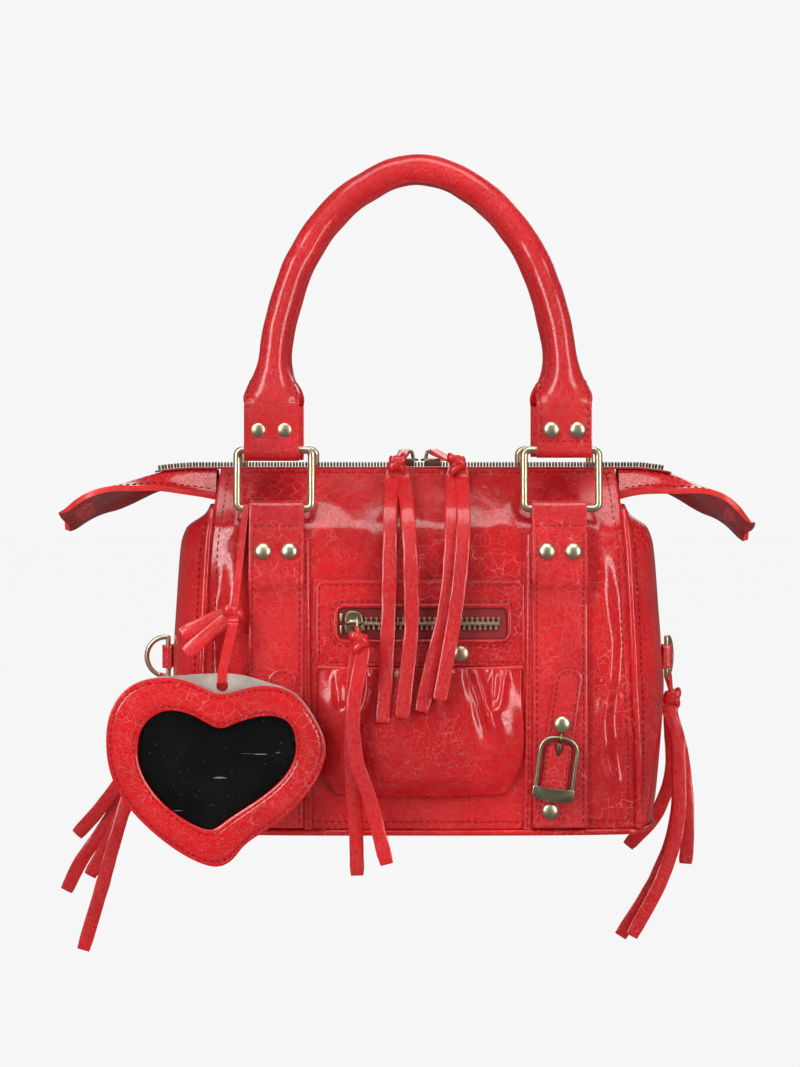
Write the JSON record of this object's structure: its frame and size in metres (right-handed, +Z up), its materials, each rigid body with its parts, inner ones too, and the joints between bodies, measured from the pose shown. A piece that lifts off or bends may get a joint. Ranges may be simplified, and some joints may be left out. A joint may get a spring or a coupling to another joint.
{
  "type": "mini bag",
  "caption": "Small zip-top handbag with rolled handles on rings, buckled straps, lace pulls, a front pocket and a heart mirror charm.",
  "frame": {"origin": "underside of the handles' apex, where a hand lifts the bag", "axes": "+X to the bag's right as seen from its front, +Y towards its back, +Z up"},
  "size_m": [0.3375, 0.1255, 0.3856],
  "materials": {
    "red_leather": "glossy crinkle finish",
    "dark_leather": "satin",
    "zip_tape": "woven",
    "pale_brass": "antique, satin",
    "dark_brass": "antique, worn",
    "mirror": "polished",
    "suede": "napped",
    "board": "plain",
    "lining_cloth": "plain weave"
  },
  "bodies": {
    "bag": {"back_left_strap": "red_leather", "back_panel": "red_leather", "back_right_strap": "red_leather", "base_board": "board", "base_panel": "dark_leather", "front_left_strap": "red_leather", "front_left_strap_rivets": "pale_brass", "front_panel": "red_leather", "front_right_strap": "red_leather", "front_right_strap_rivets": "pale_brass", "left_buckle": "pale_brass", "left_buckle_tab": "red_leather", "left_d_ring_tab": "red_leather", "left_gusset": "red_leather", "left_lower_tab_rivet": "pale_brass", "left_upper_tab_rivet": "pale_brass", "left_wing": "red_leather", "lining": "lining_cloth", "pocket_pouch": "red_leather", "pocket_rivet": "pale_brass", "pocket_zip": "zip_tape", "pocket_zip_panel": "red_leather", "right_buckle": "pale_brass", "right_buckle_tab": "red_leather", "right_d_ring_tab": "red_leather", "right_gusset": "red_leather", "right_lower_tab_rivet": "pale_brass", "right_upper_tab_rivet": "pale_brass", "right_wing": "red_leather", "top_zip_tape": "zip_tape", "top_zip_teeth": "dark_brass"},
    "front_rings": {"front_left_ring": "pale_brass", "front_right_ring": "pale_brass"},
    "back_rings": {"back_left_ring": "pale_brass", "back_right_ring": "pale_brass"},
    "front_handle": {"front_handle": "red_leather", "front_handle_core": "lining_cloth", "front_left_handle_rivets": "pale_brass", "front_right_handle_rivets": "pale_brass"},
    "back_handle": {"back_handle": "red_leather", "back_handle_core": "lining_cloth", "back_left_handle_rivets": "pale_brass", "back_right_handle_rivets": "pale_brass"},
    "left_slider": {"left_zip_slider": "dark_brass"},
    "left_pull": {"left_zip_pull": "red_leather"},
    "right_slider": {"right_zip_slider": "dark_brass"},
    "right_pull": {"right_zip_pull": "red_leather"},
    "pocket_slider": {"pocket_zip_slider": "pale_brass"},
    "pocket_pull": {"pocket_pull_ring": "pale_brass", "pocket_zip_pull": "red_leather"},
    "left_prong": {"left_buckle_prong": "dark_brass"},
    "right_prong": {"right_buckle_prong": "dark_brass"},
    "left_d_ring": {"left_d_ring": "pale_brass"},
    "right_d_ring": {"right_d_ring": "pale_brass"},
    "left_tassel": {"left_side_tassel": "red_leather"},
    "right_tassel": {"right_side_tassel": "red_leather"},
    "charm_lace": {"charm_lace": "red_leather"},
    "heart": {"heart_back": "suede", "heart_mirror": "mirror", "heart_frame": "red_leather"}
  },
  "joints": [
    {"name": "front_rings_turn", "type": "hinge", "parent": "bag", "child": "front_rings", "pos_m": [0, -0.03601, -0.15763], "axis": [1, 0, 0], "range_deg": [0, 75]},
    {"name": "front_handle_turn", "type": "hinge", "parent": "front_rings", "child": "front_handle", "pos_m": [0, -0.03358, -0.12984], "axis": [1, 0, 0], "range_deg": [0, 75]},
    {"name": "back_rings_turn", "type": "hinge", "parent": "bag", "child": "back_rings", "pos_m": [0, 0.03601, -0.15763], "axis": [-1, 0, 0], "range_deg": [0, 75]},
    {"name": "back_handle_turn", "type": "hinge", "parent": "back_rings", "child": "back_handle", "pos_m": [0, 0.03358, -0.12984], "axis": [-1, 0, 0], "range_deg": [0, 75]},
    {"name": "left_slider_slide", "type": "slide", "parent": "bag", "child": "left_slider", "axis": [-1, 0, 0], "range_m": [0, 0.1], "deforming": ["left_zip_pull"]},
    {"name": "left_pull_swing", "type": "hinge", "parent": "left_slider", "child": "left_pull", "pos_m": [-0.0057, 0, -0.1306], "axis": [1, 0, 0], "range_deg": [-25, 0]},
    {"name": "right_slider_slide", "type": "slide", "parent": "bag", "child": "right_slider", "axis": [1, 0, 0], "range_m": [0, 0.1], "deforming": ["right_zip_pull"]},
    {"name": "right_pull_swing", "type": "hinge", "parent": "right_slider", "child": "right_pull", "pos_m": [0.0077, 0, -0.1306], "axis": [1, 0, 0], "range_deg": [-25, 0]},
    {"name": "pocket_slider_slide", "type": "slide", "parent": "bag", "child": "pocket_slider", "axis": [1, 0, 0], "range_m": [0, 0.062], "deforming": ["pocket_zip_pull", "left_zip_pull", "right_zip_pull"]},
    {"name": "pocket_pull_swing", "type": "hinge", "parent": "pocket_slider", "child": "pocket_pull", "pos_m": [-0.03035, -0.05366, -0.21094], "axis": [1, 0, 0], "range_deg": [-25, 0]},
    {"name": "left_prong_turn", "type": "hinge", "parent": "bag", "child": "left_prong", "pos_m": [-0.06778, -0.05431, -0.26518], "axis": [1, 0, 0], "range_deg": [-35, 0]},
    {"name": "right_prong_turn", "type": "hinge", "parent": "bag", "child": "right_prong", "pos_m": [0.06695, -0.05436, -0.26518], "axis": [1, 0, 0], "range_deg": [-80, 0]},
    {"name": "left_d_ring_turn", "type": "hinge", "parent": "bag", "child": "left_d_ring", "pos_m": [-0.1214, 0, -0.2305], "axis": [0, 0, 1], "range_deg": [-60, 60], "deforming": ["left_side_tassel"]},
    {"name": "left_tassel_swing", "type": "hinge", "parent": "left_d_ring", "child": "left_tassel", "pos_m": [-0.12464, 0, -0.24001], "axis": [-0.9552, 0, 0.2961], "range_deg": [-30, 30]},
    {"name": "right_d_ring_turn", "type": "hinge", "parent": "bag", "child": "right_d_ring", "pos_m": [0.1214, 0, -0.2305], "axis": [0, 0, 1], "range_deg": [-110, 0], "deforming": ["right_side_tassel"]},
    {"name": "right_tassel_swing", "type": "hinge", "parent": "right_d_ring", "child": "right_tassel", "pos_m": [0.1224, 0.00309, -0.24001], "axis": [0.2951, 0.9084, 0.2961], "range_deg": [-30, 0]},
    {"name": "charm_swing", "type": "hinge", "parent": "bag", "child": "charm_lace", "pos_m": [-0.0816, -0.03601, -0.15763], "axis": [1, 0, 0], "range_deg": [-45, 0]},
    {"name": "heart_swing", "type": "hinge", "parent": "charm_lace", "child": "heart", "pos_m": [-0.09155, -0.06, -0.23989], "axis": [0, 1, 0], "range_deg": [-20, 20]}
  ]
}
